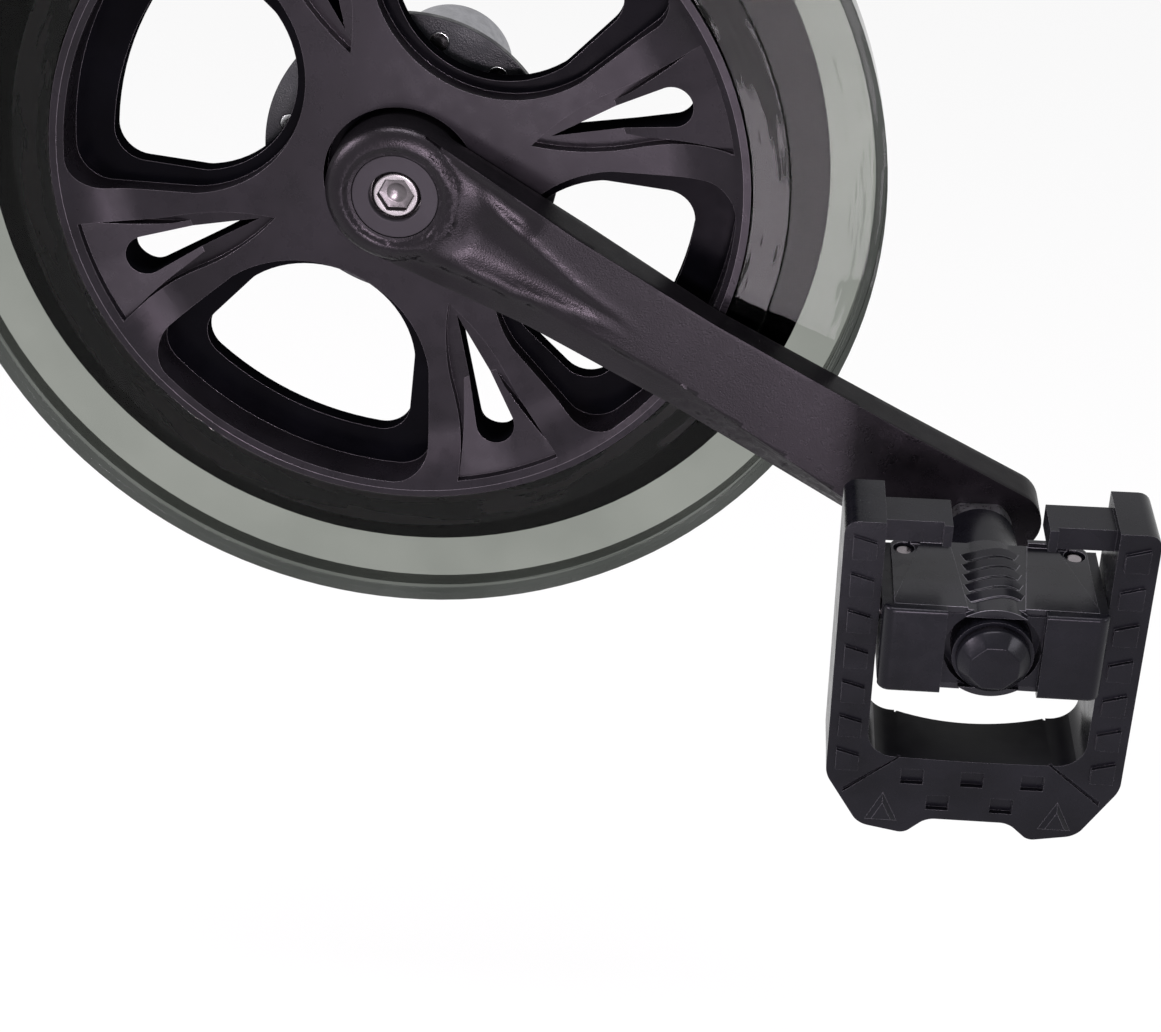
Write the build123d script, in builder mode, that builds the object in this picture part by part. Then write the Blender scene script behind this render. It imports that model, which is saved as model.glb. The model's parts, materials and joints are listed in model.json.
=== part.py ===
from build123d import *
import os
from math import cos, radians, sin, sqrt, tan

os.makedirs("parts", exist_ok=True)

# Drive-side bicycle crankset with a spoked cover, a smoked chain guard and a folding pedal.
# Millimetres. The spindle runs along Y through the origin, X is forward and Z is up.
# The drive side faces -Y, and a name that ends in _out is a distance outboard, at y = -value.

# A cutting tool runs this far past the face that it leaves
overrun = 1.0

# Bottom bracket
shell_width = 68.0
thread_radius = 17.4
cup_length = 19.0
cup_flange_radius = 20.5
cup_flange_thickness = 2.0
cup_wall = 1.6
cup_tool_teeth = 20
cup_tool_notch = 2.0
cartridge_clearance = 0.05
cartridge_inset = 2.0

# Spindle
spindle_radius = 8.5
bearing_clearance = 0.05
spindle_half_length = 58.0
taper_length = 18.0
taper_flat = 12.7
taper_angle = 2.0
taper_corner_radius = 8.2
taper_clearance = 0.03
bolt_thread_radius = 4.0
bolt_thread_depth = 24.0

# Chainring
tooth_count = 50
chain_pitch = 12.7
roller_radius = 3.97
chain_line = 45.2
chainring_thickness = 2.2
tooth_gap_width = 9.4
tooth_tip_share = 0.6

# Magnet disc of the pedalling sensor
magnet_disc_radius = 38.5
magnet_disc_thickness = 2.4
magnet_disc_gap = 1.5
magnet_count = 12
magnet_radius = 2.5
magnet_edge_distance = 6.0
magnet_depth = 1.6
magnet_turn = 15.0

# Spoked cover
spoke_count = 4
spoke_turn = 18.3
cover_seat_gap = 0.1
cover_depth = 9.6
cover_rim_radius = 88.3
cover_rim_rise = 6.8
cover_rim_width = 1.8
cover_flange_thickness = 1.2
cover_wall_inset = 2.1
cover_slope_width = 18.5
cover_slope_bow = 1.6
cover_ledge_drop = 5.0
cover_hub_recess_radius = 22.0
cover_hub_drop = 6.1

# Windows of the cover, measured along and across the middle line of each
window_rim_inset = 3.3
window_shoulder = 41.5
window_waist = 28.5
window_waist_height = 45.5
window_foot_height = 29.3
window_corner = 9.0
opening_rim_inset = 13.3
opening_shoulder = 31.5
opening_waist = 23.5
opening_waist_height = 45.5
opening_foot_height = 32.0
opening_corner = 8.0
chainring_window_margin = 1.5

# Slot in each spoke, in a recess that flares towards the rim round a raised fan
slot_tip_height = 40.0
slot_end_height = 71.8
slot_end_radius = 5.2
slot_margin = 1.0
recess_tip_height = 35.0
recess_neck_height = 46.0
recess_neck_half = 4.8
recess_waist_height = 61.0
recess_waist_half = 7.9
recess_hip_height = 73.0
recess_hip_half = 10.4
recess_flare_half = 14.4
recess_rim_inset = 3.6
recess_depth = 3.2
fan_tip_height = 58.0
fan_tip_half = 4.6
fan_waist_height = 70.0
fan_waist_half = 8.4
fan_tip_rise = 1.2
fan_rim_rise = 6.2

# Guard rings
guard_radius = 121.5
guard_thickness = 2.2
guard_lip_width = 2.5
guard_lip_front = 2.3
guard_lip_back = 7.6
guard_band_width = 9.4
guard_band_rise = 0.6
guard_seat_width = 0.3
guard_collar_width = 2.4
ring_width = 21.5
ring_height = 6.4
ring_thickness = 2.0
ring_collar_width = 2.8
ring_clearance = 0.1

# Crank arm
crank_length = 170.0
crank_turn = -28.0
eye_radius = 18.0
eye_rise = 10.5
eye_round = 3.5
eye_dish_radius = 14.6
eye_dish_depth = 1.0
eye_dish_floor_width = 0.9
boss_radius = 15.7
boss_overhang = 0.9
boss_clearance = 0.05
arm_neck_half = 14.4
arm_neck_at = 45.0
arm_waist_half = 13.3
arm_waist_at = 85.0
arm_end_half = 14.2
arm_end_length = 30.0
arm_end_reach = 14.5
arm_end_corner = 9.0
arm_end_rise = 0.6
arm_cover_gap = 1.3
arm_face_out = 79.0
arm_end_thickness = 11.5
arm_bevel_width = 7.5
arm_bevel_end_width = 3.5
arm_bevel_drop = 3.2
extractor_radius = 11.05
extractor_depth = 5.3

# Crank bolt and dust ring
bolt_washer_radius = 9.8
bolt_washer_thickness = 1.0
bolt_head_radius = 6.1
bolt_head_height = 2.3
bolt_head_edge = 0.6
bolt_socket_flats = 8.0
bolt_socket_depth = 2.0
dust_ring_clearance = 0.15
dust_ring_hole_clearance = 0.5

# Pedal spindle
pedal_thread_radius = 7.1
pedal_hole_clearance = 0.05
pedal_collar_radius = 9.0
pedal_collar_flats = 15.0
pedal_collar_length = 5.5
pedal_spindle_radius = 6.0
pedal_running_clearance = 0.05
pedal_side_gap = 0.5

# Pedal body
barrel_radius = 9.5
pedal_reach = 25.0
body_depth = 32.0
body_half_width = 26.2
body_half_height = 10.0
body_corner = 3.0
front_lip_depth = 2.4
front_lip_overhang = 1.8
front_lip_round = 1.0
cap_bay_gap = 1.9
cap_bay_depth = 7.0
spindle_end_wall = 4.0

# Pedal covers, one above and one below
wing_half_width = 23.6
wing_back_across = 9.4
wing_front_across = 6.6
wing_step_across = 16.0
wing_step_front = 2.0
wing_thickness = 1.7
plate_thickness = 1.2
wing_corner = 2.0
cover_edge_gap = 0.4
saddle_wall = 2.3
saddle_front_gap = 1.0
ridge_count = 5
ridge_start = 5.0
ridge_pitch = 4.4
ridge_width = 2.6
ridge_height = 0.9
ridge_taper = 12.0
latch_lip_height = 1.3
latch_lip_width = 1.6
latch_lip_outer = 19.5
screw_across = 20.5
screw_from_back = 4.0
screw_hole_radius = 2.6
screw_radius = 1.9
screw_sink = 0.6

# End cap
cap_radius = 8.6
cap_flats = 10.8
cap_wall_length = 2.2
cap_cone_length = 3.1

# Folding cage, measured from the pedal's axis
cage_side_gap = 0.4
cage_arm_width = 9.6
cage_depth = 19.5
hinge_from_back = 14.25
cage_top = 30.2
hook_top = 28.4
hook_bottom = 22.7
hook_tip_half = 11.1
hook_depth = 10.3
hook_nub_width = 2.0
hook_nub_rise = 1.6
bar_top = -37.5
bar_bottom = -56.4
bar_sag = 3.0
bar_front_sag = 0.3
bar_sag_half = 19.0
bar_corner_inset = 3.9
bar_corner_height = -50.7
bar_side_height = -44.0
foot_outer_inset = 8.9
foot_outer_height = -59.2
foot_inner_across = 15.5
foot_bottom = -61.5
bar_middle_across = 10.2
opening_fillet = 7.0
hinge_pin_radius = 2.5
hinge_clearance = 0.05
hinge_pin_depth = 8.2
hinge_pin_cover = 3.2
hinge_end_gap = 0.3

# Treads of the cage, on its front and back faces
tread_count = 7
tread_pitch = 10.35
tread_first_height = 26.4
tread_height = 6.0
tread_slant = 1.7
tread_width = 5.6
tread_inset = 2.2
tread_rise = 1.0
notch_width = 5.6
notch_height = 4.6
notch_depth = 1.4
notch_places = (
    # across, height
    (-14.8, -43.4),
    (0.0, -43.4),
    (14.8, -43.4),
    (-7.9, -51.2),
    (7.9, -51.2),
)
seam_width = 0.8
seam_depth = 0.8
seam_inner_across = 17.0
seam_outer_inset = 4.5
seam_outer_height = -48.6
spur_half_width = 4.0
spur_side = 9.6
spur_across = 21.6
spur_base_height = -57.6
spur_rise = 1.2
spur_taper = 40.0

half_shell = shell_width / 2
pitch_radius = chain_pitch / 2 / sin(radians(180 / tooth_count))
tip_radius = chain_pitch / 2 * (tooth_tip_share + 1 / tan(radians(180 / tooth_count)))
chainring_face_out = chain_line + chainring_thickness / 2
chainring_back_out = chain_line - chainring_thickness / 2
cover_back_out = chainring_face_out + cover_seat_gap
cover_face_out = cover_back_out + cover_depth
cover_ledge_out = cover_face_out - cover_ledge_drop
cover_hub_out = cover_face_out - cover_hub_drop
cover_rim_out = cover_face_out + cover_rim_rise
cover_wall_radius = cover_rim_radius - cover_wall_inset
rim_inner = cover_rim_radius - cover_rim_width
cover_dish_radius = rim_inner - cover_slope_width
recess_rim_radius = cover_rim_radius - recess_rim_inset
recess_floor_out = cover_face_out - recess_depth
eye_back_out = cover_hub_out + cover_seat_gap
eye_face_out = cover_face_out + eye_rise
boss_back_out = chainring_back_out - boss_overhang
extractor_floor_out = eye_face_out - extractor_depth
pedal_x = crank_length * cos(radians(crank_turn))
pedal_z = crank_length * sin(radians(crank_turn))
body_back_out = arm_face_out + pedal_reach
body_front_out = body_back_out + body_depth
hinge_out = body_back_out + hinge_from_back
cage_opening_half = body_half_width + cage_side_gap
cage_half_width = cage_opening_half + cage_arm_width


def facing(out, x=0.0, z=0.0, turn=0.0):
    """Plane across the spindle seen from the drive side, with its x axis turned up from +X."""
    across = (cos(radians(turn)), 0, sin(radians(turn)))
    return Plane(origin=(x, -out, z), x_dir=across, z_dir=(0, -1, 0))


def facing_pedal(out):
    """The same plane with its centre on the pedal's axis."""
    return facing(out, pedal_x, pedal_z)


def across_arm(along):
    """Plane across the crank arm: its x axis points up the arm's width, its y axis outboard."""
    turn = radians(crank_turn)
    return Plane(
        origin=(along * cos(turn), 0, along * sin(turn)),
        x_dir=(-sin(turn), 0, cos(turn)),
        z_dir=(cos(turn), 0, sin(turn)),
    )


def window_outline(rim_radius, shoulder, waist, waist_height, foot_height, corner):
    """Rounded fan whose middle line runs up from the spindle."""
    shoulder_height = sqrt(rim_radius**2 - shoulder**2)
    with BuildSketch() as outline:
        with BuildLine():
            ThreePointArc((-shoulder, shoulder_height), (0, rim_radius), (shoulder, shoulder_height))
            Line((shoulder, shoulder_height), (waist, waist_height))
            ThreePointArc((waist, waist_height), (0, foot_height), (-waist, waist_height))
            Line((-waist, waist_height), (-shoulder, shoulder_height))
        make_face()
        fillet(outline.vertices(), corner)
    return outline.sketch


def slot_outline(margin=0.0):
    """Teardrop along a spoke, its tip towards the spindle."""
    end_radius = slot_end_radius + margin
    reach = slot_end_height - (slot_tip_height - margin)
    lean = end_radius / reach
    side = end_radius * sqrt(1 - lean**2)
    side_height = slot_end_height - end_radius * lean
    with BuildSketch() as outline:
        with BuildLine():
            Line((0, slot_tip_height - margin), (side, side_height))
            ThreePointArc((side, side_height), (0, slot_end_height + end_radius), (-side, side_height))
            Line((-side, side_height), (0, slot_tip_height - margin))
        make_face()
    return outline.sketch


def rim_height(across, radius):
    """Height at which a point this far across lies on a circle about the spindle."""
    return sqrt(radius**2 - across**2)


def recess_outline():
    """From a tip near the hub, out round the slot, and flared to two points at the rim."""
    flare = (recess_flare_half, rim_height(recess_flare_half, recess_rim_radius))
    with BuildSketch() as outline:
        with BuildLine():
            for side in (-1, 1):
                ThreePointArc(
                    (0, recess_tip_height),
                    (side * recess_neck_half, recess_neck_height),
                    (side * recess_waist_half, recess_waist_height),
                )
                ThreePointArc(
                    (side * recess_waist_half, recess_waist_height),
                    (side * recess_hip_half, recess_hip_height),
                    (side * flare[0], flare[1]),
                )
            ThreePointArc((flare[0], flare[1]), (0, recess_rim_radius), (-flare[0], flare[1]))
        make_face()
    return outline.sketch


def fan_outline():
    """Raised fan between the slot's outer end and the rim, inside the recess."""
    flare = (recess_flare_half, rim_height(recess_flare_half, recess_rim_radius))
    with BuildSketch() as outline:
        with BuildLine():
            Line((-fan_tip_half, fan_tip_height), (fan_tip_half, fan_tip_height))
            for side in (-1, 1):
                ThreePointArc(
                    (side * fan_tip_half, fan_tip_height),
                    (side * fan_waist_half, fan_waist_height),
                    (side * flare[0], flare[1]),
                )
            ThreePointArc((flare[0], flare[1]), (0, recess_rim_radius), (-flare[0], flare[1]))
        make_face()
    return outline.sketch


def taper_block(clearance, back_out, front_out):
    """Square taper between two distances outboard, its corners turned off."""
    end_half = taper_flat / 2 + clearance
    back_half = end_half + (spindle_half_length - back_out) * tan(radians(taper_angle))
    front_half = end_half + (spindle_half_length - front_out) * tan(radians(taper_angle))
    with BuildPart(mode=Mode.PRIVATE) as block:
        with BuildSketch(facing(back_out)):
            Rectangle(2 * back_half, 2 * back_half)
        with BuildSketch(facing(front_out)):
            Rectangle(2 * front_half, 2 * front_half)
        loft()
        with BuildSketch(facing(back_out)):
            Circle(taper_corner_radius + clearance)
        extrude(amount=front_out - back_out, mode=Mode.INTERSECT)
    return block.part


def ring_profile(points):
    """Closed outline from (radius, distance outboard) pairs, ready to turn about the spindle."""
    with BuildSketch() as profile:
        with BuildLine():
            Polyline(*[(radius, -out) for radius, out in points], close=True)
        make_face()
    return profile.sketch


def save(piece, label):
    piece.label = label
    export_step(piece, f"parts/{label}.step")


# Bottom bracket cartridge and its two threaded cups
cartridge_half = half_shell - cartridge_inset
cartridge_radius = thread_radius - cup_wall
with BuildPart() as cartridge:
    with BuildSketch(facing(-cartridge_half)):
        Circle(cartridge_radius)
        Circle(spindle_radius + bearing_clearance, mode=Mode.SUBTRACT)
    extrude(amount=2 * cartridge_half)
save(cartridge.part, "bearing_cartridge")

cup_bore = cartridge_radius + cartridge_clearance
cup_mouth = cup_bore - cup_tool_notch / 2
for side, label in ((1, "drive_side_cup"), (-1, "left_side_cup")):
    outer_end = half_shell + (cup_flange_thickness if side > 0 else 0)
    with BuildPart() as cup:
        with BuildSketch(facing(side * (half_shell - cup_length))):
            Circle(thread_radius)
        extrude(amount=side * (outer_end - half_shell + cup_length))
        if side > 0:
            with BuildSketch(facing(half_shell)):
                Circle(cup_flange_radius)
            extrude(amount=cup_flange_thickness)
        with BuildSketch(facing(side * (half_shell - cup_length))):
            Circle(cup_bore)
        extrude(amount=side * (cup_length - cartridge_inset), mode=Mode.SUBTRACT)
        with BuildSketch(facing(side * cartridge_half)):
            Circle(cup_mouth)
            with PolarLocations(cup_mouth, cup_tool_teeth):
                Rectangle(cup_tool_notch, cup_tool_notch)
        extrude(amount=side * (outer_end - cartridge_half), mode=Mode.SUBTRACT)
    save(cup.part, label)

# Spindle with a square taper at each end
taper_start = spindle_half_length - taper_length
with BuildPart() as spindle:
    with BuildSketch(facing(-taper_start)):
        Circle(spindle_radius)
    extrude(amount=2 * taper_start)
    drive_taper = taper_block(0, taper_start, spindle_half_length)
    add(drive_taper)
    add(mirror(drive_taper, about=Plane.XZ))
    for end in (-1, 1):
        with BuildSketch(facing(end * spindle_half_length)):
            Circle(bolt_thread_radius)
        extrude(amount=-end * bolt_thread_depth, mode=Mode.SUBTRACT)
save(spindle.part, "spindle")

# Magnet disc on the spindle, behind the chainring
disc_back_out = half_shell + cup_flange_thickness + magnet_disc_gap
disc_face_out = disc_back_out + magnet_disc_thickness
magnet_circle_radius = magnet_disc_radius - magnet_edge_distance
with BuildPart() as magnet_disc:
    with BuildSketch(facing(disc_back_out)):
        Circle(magnet_disc_radius)
        Circle(spindle_radius + bearing_clearance, mode=Mode.SUBTRACT)
    extrude(amount=magnet_disc_thickness)
    with BuildSketch(facing(disc_face_out, turn=magnet_turn)):
        with PolarLocations(magnet_circle_radius, magnet_count):
            Circle(magnet_radius)
    extrude(amount=-magnet_depth, mode=Mode.SUBTRACT)
save(magnet_disc.part, "magnet_disc")

with BuildPart() as magnets:
    with BuildSketch(facing(disc_face_out - magnet_depth, turn=magnet_turn)):
        with PolarLocations(magnet_circle_radius, magnet_count):
            Circle(magnet_radius)
    extrude(amount=magnet_depth)
save(magnets.part, "sensor_magnets")

# Chainring, with the cover's openings cut through its plate
window_turn = spoke_turn + 180 / spoke_count
opening = window_outline(
    cover_rim_radius - opening_rim_inset,
    opening_shoulder,
    opening_waist,
    opening_waist_height,
    opening_foot_height,
    opening_corner,
)
chainring_opening = offset(opening, chainring_window_margin)
with BuildPart() as chainring:
    with BuildSketch(facing(chainring_back_out)):
        Circle(tip_radius)
        Circle(boss_radius + boss_clearance, mode=Mode.SUBTRACT)
        with BuildSketch(mode=Mode.PRIVATE) as tooth_gap:
            with Locations((pitch_radius, 0)):
                Circle(roller_radius)
            with BuildLine():
                Polyline(
                    (pitch_radius, -roller_radius),
                    (tip_radius + overrun, -tooth_gap_width / 2),
                    (tip_radius + overrun, tooth_gap_width / 2),
                    (pitch_radius, roller_radius),
                    close=True,
                )
            make_face()
        with PolarLocations(0, tooth_count):
            add(tooth_gap.sketch, mode=Mode.SUBTRACT)
    extrude(amount=chainring_thickness)
    with BuildSketch(facing(chainring_back_out, turn=window_turn - 90)):
        with PolarLocations(0, spoke_count):
            add(chainring_opening)
    extrude(amount=chainring_thickness, mode=Mode.SUBTRACT)
    with BuildSketch(facing(chainring_back_out, turn=spoke_turn - 90)):
        with PolarLocations(0, spoke_count):
            add(slot_outline(slot_margin))
    extrude(amount=chainring_thickness, mode=Mode.SUBTRACT)
save(chainring.part, "chainring")

# Spoked cover, turned as a dished disc and then cut
hub_hole = boss_radius + boss_clearance
with BuildPart() as fans:
    add(
        ring_profile(
            [
                (fan_tip_height - overrun, recess_floor_out),
                (fan_tip_height - overrun, recess_floor_out + fan_tip_rise),
                (recess_rim_radius, recess_floor_out + fan_rim_rise),
                (recess_rim_radius, recess_floor_out),
            ]
        )
    )
    revolve(axis=Axis.Y)
    with BuildSketch(facing(recess_floor_out, turn=spoke_turn - 90)):
        with PolarLocations(0, spoke_count):
            add(fan_outline())
    extrude(amount=fan_rim_rise, mode=Mode.INTERSECT)

with BuildPart() as cover:
    with BuildSketch():
        with BuildLine():
            Polyline(
                (hub_hole, -cover_back_out),
                (hub_hole, -cover_hub_out),
                (cover_hub_recess_radius, -cover_hub_out),
                (cover_hub_recess_radius, -cover_face_out),
                (cover_dish_radius, -cover_face_out),
            )
            RadiusArc(
                (cover_dish_radius, -cover_face_out),
                (rim_inner, -cover_rim_out),
                cover_slope_width * cover_slope_bow,
            )
            Polyline(
                (rim_inner, -cover_rim_out),
                (cover_rim_radius, -cover_rim_out),
                (cover_rim_radius, -cover_rim_out + cover_flange_thickness),
                (cover_wall_radius, -cover_rim_out + cover_flange_thickness),
                (cover_wall_radius, -cover_back_out),
                (hub_hole, -cover_back_out),
            )
        make_face()
    revolve(axis=Axis.Y)
    with BuildSketch(facing(cover_ledge_out, turn=window_turn - 90)):
        with PolarLocations(0, spoke_count):
            add(
                window_outline(
                    cover_rim_radius - window_rim_inset,
                    window_shoulder,
                    window_waist,
                    window_waist_height,
                    window_foot_height,
                    window_corner,
                )
            )
    extrude(amount=cover_rim_out - cover_ledge_out, mode=Mode.SUBTRACT)
    with BuildSketch(facing(cover_back_out, turn=window_turn - 90)):
        with PolarLocations(0, spoke_count):
            add(opening)
    extrude(amount=cover_ledge_out - cover_back_out, mode=Mode.SUBTRACT)
    with BuildSketch(facing(recess_floor_out, turn=spoke_turn - 90)):
        with PolarLocations(0, spoke_count):
            add(recess_outline())
    extrude(amount=cover_rim_out - recess_floor_out, mode=Mode.SUBTRACT)
    add(fans.part)
    with BuildSketch(facing(cover_back_out, turn=spoke_turn - 90)):
        with PolarLocations(0, spoke_count):
            add(slot_outline())
    extrude(amount=cover_rim_out - cover_back_out, mode=Mode.SUBTRACT)
save(cover.part, "spoked_cover")

# Smoked guard, clamped behind the cover's rim
seat_radius = cover_wall_radius + ring_clearance
guard_face_out = cover_rim_out - cover_flange_thickness
guard_back_out = guard_face_out - guard_thickness
guard_lip_inner = guard_radius - guard_lip_width
ring_face_out = chainring_face_out + ring_height
band_start = cover_rim_radius + guard_seat_width
band_end = band_start + guard_band_width
with BuildPart() as guard:
    add(
        ring_profile(
            [
                (seat_radius, ring_face_out),
                (seat_radius, guard_face_out),
                (band_start, guard_face_out),
                (band_start, guard_face_out + guard_band_rise),
                (band_end, guard_face_out + guard_band_rise),
                (band_end, guard_face_out),
                (guard_lip_inner, guard_face_out),
                (guard_lip_inner, guard_face_out + guard_lip_front),
                (guard_radius, guard_face_out + guard_lip_front),
                (guard_radius, guard_face_out - guard_lip_back),
                (guard_lip_inner, guard_face_out - guard_lip_back),
                (guard_lip_inner, guard_back_out),
                (seat_radius + guard_collar_width, guard_back_out),
                (seat_radius + guard_collar_width, ring_face_out),
            ]
        )
    )
    revolve(axis=Axis.Y)
save(guard.part, "smoked_guard")

# Black ring behind the guard, standing on the chainring
ring_back_out = ring_face_out - ring_thickness
ring_radius = seat_radius + ring_width
with BuildPart() as inner_ring:
    add(
        ring_profile(
            [
                (seat_radius, chainring_face_out),
                (seat_radius, ring_face_out),
                (ring_radius, ring_face_out),
                (ring_radius, ring_back_out),
                (seat_radius + ring_collar_width, ring_back_out),
                (seat_radius + ring_collar_width, chainring_face_out),
            ]
        )
    )
    revolve(axis=Axis.Y)
save(inner_ring.part, "inner_guard_ring")

# Crank arm: its front outline cut to its side outline, with a long bevel below
arm_end = crank_length + arm_end_reach
arm_end_at = crank_length - arm_end_length
arm_back_out = arm_face_out - arm_end_thickness
arm_root_out = cover_face_out + arm_cover_gap
arm_slope = (arm_face_out - arm_end_rise - eye_face_out) / (arm_end_at - eye_radius)
arm_bevels = (
    # along the arm, half width, distance outboard of the front, width of the bevel
    (0.0, eye_radius, eye_face_out, arm_bevel_width),
    (arm_neck_at, arm_neck_half, eye_face_out + arm_slope * (arm_neck_at - eye_radius), arm_bevel_width),
    (arm_waist_at, arm_waist_half, eye_face_out + arm_slope * (arm_waist_at - eye_radius), arm_bevel_width),
    (arm_end_at, arm_end_half, arm_face_out - arm_end_rise, arm_bevel_end_width),
    (arm_end + overrun, arm_end_half, arm_face_out, arm_bevel_end_width),
)
with BuildPart() as lower_bevel:
    for along, half, front, width in arm_bevels:
        with BuildSketch(across_arm(along)):
            with BuildLine():
                Polyline(
                    (-half + width, front),
                    (-half + width, front + overrun),
                    (-half - overrun, front + overrun),
                    (-half - overrun, front - arm_bevel_drop * (1 + overrun / width)),
                    close=True,
                )
            make_face()
    loft(ruled=True)

with BuildPart() as eye:
    with BuildSketch(facing(eye_back_out)):
        Circle(eye_radius)
    extrude(amount=eye_face_out - eye_back_out)
    fillet(eye.edges().group_by(Axis.Y)[0], eye_round)
    with BuildSketch(facing(boss_back_out)):
        Circle(boss_radius)
    extrude(amount=eye_back_out - boss_back_out)

with BuildPart() as crank:
    with BuildSketch(facing(eye_back_out, turn=crank_turn)):
        with BuildLine():
            Polyline(
                (0, eye_radius),
                (arm_neck_at, arm_neck_half),
                (arm_waist_at, arm_waist_half),
                (arm_end_at, arm_end_half),
                (arm_end, arm_end_half),
                (arm_end, -arm_end_half),
                (arm_end_at, -arm_end_half),
                (arm_waist_at, -arm_waist_half),
                (arm_neck_at, -arm_neck_half),
                (0, -eye_radius),
                close=True,
            )
        make_face()
    extrude(amount=arm_face_out - eye_back_out)
    end_edges = crank.edges().filter_by(Axis.Y).sort_by(
        lambda edge: -edge.center().X * cos(radians(crank_turn)) - edge.center().Z * sin(radians(crank_turn))
    )
    fillet(end_edges[0:2], arm_end_corner)
    side_plane = Plane(
        origin=(0, 0, 0),
        x_dir=(cos(radians(crank_turn)), 0, sin(radians(crank_turn))),
        z_dir=(-sin(radians(crank_turn)), 0, cos(radians(crank_turn))),
    )
    with BuildSketch(side_plane):
        with BuildLine():
            Polyline(
                (0, -eye_face_out + arm_slope * eye_radius),
                (arm_end_at, -arm_face_out + arm_end_rise),
                (crank_length, -arm_face_out),
                (arm_end, -arm_face_out),
                (arm_end, -arm_back_out),
                (arm_end_at, -arm_back_out),
                (arm_waist_at, -cover_rim_out - arm_cover_gap),
                (arm_neck_at, -arm_root_out),
                (0, -arm_root_out),
                close=True,
            )
        make_face()
    extrude(amount=2 * eye_radius, both=True, mode=Mode.INTERSECT)
    add(lower_bevel.part, mode=Mode.SUBTRACT)
    add(eye.part)
    dish_floor_out = eye_face_out - eye_dish_depth
    with BuildSketch(facing(eye_face_out)):
        Circle(eye_dish_radius)
    with BuildSketch(facing(dish_floor_out)):
        Circle(extractor_radius + eye_dish_floor_width)
    loft(mode=Mode.SUBTRACT)
    with BuildSketch(facing(extractor_floor_out)):
        Circle(extractor_radius)
    extrude(amount=eye_face_out - extractor_floor_out + overrun, mode=Mode.SUBTRACT)
    add(
        taper_block(taper_clearance, boss_back_out - overrun, extractor_floor_out + overrun),
        mode=Mode.SUBTRACT,
    )
    with BuildSketch(facing_pedal(arm_back_out - overrun)):
        Circle(pedal_thread_radius + pedal_hole_clearance)
    extrude(amount=arm_face_out - arm_back_out + 2 * overrun, mode=Mode.SUBTRACT)
save(crank.part, "crank_arm")

# Crank bolt with its washer face, and the dust ring round it
washer_front_out = extractor_floor_out + bolt_washer_thickness
bolt_head_out = washer_front_out + bolt_head_height
bolt_thread_out = spindle_half_length - bolt_thread_depth + overrun
with BuildPart() as crank_bolt:
    with BuildSketch(facing(bolt_thread_out)):
        Circle(bolt_thread_radius - taper_clearance)
    extrude(amount=extractor_floor_out - bolt_thread_out)
    with BuildSketch(facing(extractor_floor_out)):
        Circle(bolt_washer_radius)
    extrude(amount=bolt_washer_thickness)
    with BuildSketch(facing(washer_front_out)):
        Circle(bolt_head_radius)
    extrude(amount=bolt_head_height)
    chamfer(crank_bolt.edges().group_by(Axis.Y)[0], bolt_head_edge)
    with BuildSketch(facing(bolt_head_out)):
        RegularPolygon(bolt_socket_flats / 2, 6, major_radius=False)
    extrude(amount=-bolt_socket_depth, mode=Mode.SUBTRACT)
save(crank_bolt.part, "crank_bolt")

dust_ring_out = eye_face_out - eye_dish_depth
with BuildPart() as dust_ring:
    with BuildSketch(facing(washer_front_out)):
        Circle(extractor_radius - dust_ring_clearance)
        Circle(bolt_head_radius + dust_ring_hole_clearance, mode=Mode.SUBTRACT)
    extrude(amount=dust_ring_out - washer_front_out)
save(dust_ring.part, "dust_ring")

# Pedal spindle: thread in the crank, collar with wrench flats, journal in the pedal
collar_out = arm_face_out + pedal_collar_length
body_start_out = collar_out + pedal_side_gap
spindle_tip_out = body_front_out - spindle_end_wall
with BuildPart() as pedal_spindle:
    with BuildSketch(facing_pedal(arm_back_out)):
        Circle(pedal_thread_radius)
    extrude(amount=arm_face_out - arm_back_out)
    with BuildSketch(facing_pedal(arm_face_out)):
        Circle(pedal_collar_radius)
        Rectangle(2 * pedal_collar_radius, pedal_collar_flats, mode=Mode.INTERSECT)
    extrude(amount=pedal_collar_length)
    with BuildSketch(facing_pedal(collar_out)):
        Circle(pedal_spindle_radius)
    extrude(amount=spindle_tip_out - collar_out)
save(pedal_spindle.part, "pedal_spindle")

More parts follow.
